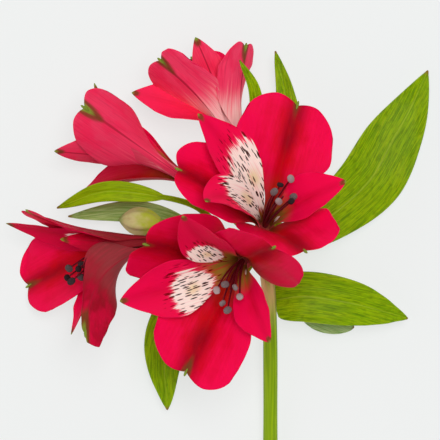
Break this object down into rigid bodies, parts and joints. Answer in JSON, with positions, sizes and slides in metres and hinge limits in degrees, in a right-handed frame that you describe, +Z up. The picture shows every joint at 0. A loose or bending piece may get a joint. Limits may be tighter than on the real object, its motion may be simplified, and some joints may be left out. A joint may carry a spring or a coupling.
{
  "type": "alstroemeria stem",
  "caption": "Cut alstroemeria stem with crimson blooms, a young bud and twisted green leaves, lying flat.",
  "frame": {"origin": "bottom centre of the bounding box, on the surface that the stem lies on", "axes": "+Y along the stem from the cut end towards the blooms, +Z up from the surface, +X to the right seen from above"},
  "size_m": [0.1758, 0.2624, 0.0901],
  "materials": {
    "tepal": "soft petal",
    "stamen": "matt",
    "stem": "satin plant skin",
    "leaf": "satin leaf",
    "leaf_underside": "matt leaf",
    "bud": "matt"
  },
  "bodies": {
    "root": {"stem": "stem", "tepals_right": "tepal", "stamens_right": "stamen", "tepals_near": "tepal", "stamens_near": "stamen", "tepals_left": "tepal", "stamens_left": "stamen", "tepals_far_left": "tepal", "stamens_far_left": "stamen", "tepals_far": "tepal", "stamens_far": "stamen", "leaf_long_right": "leaf", "leaf_near_right": "leaf", "leaf_low_right": "leaf_underside", "leaf_near_left": "leaf", "leaf_left_upper": "leaf", "leaf_left_lower": "leaf_underside", "leaf_far": "leaf", "leaf_bract": "leaf", "young_bud": "bud"}
  },
  "joints": []
}
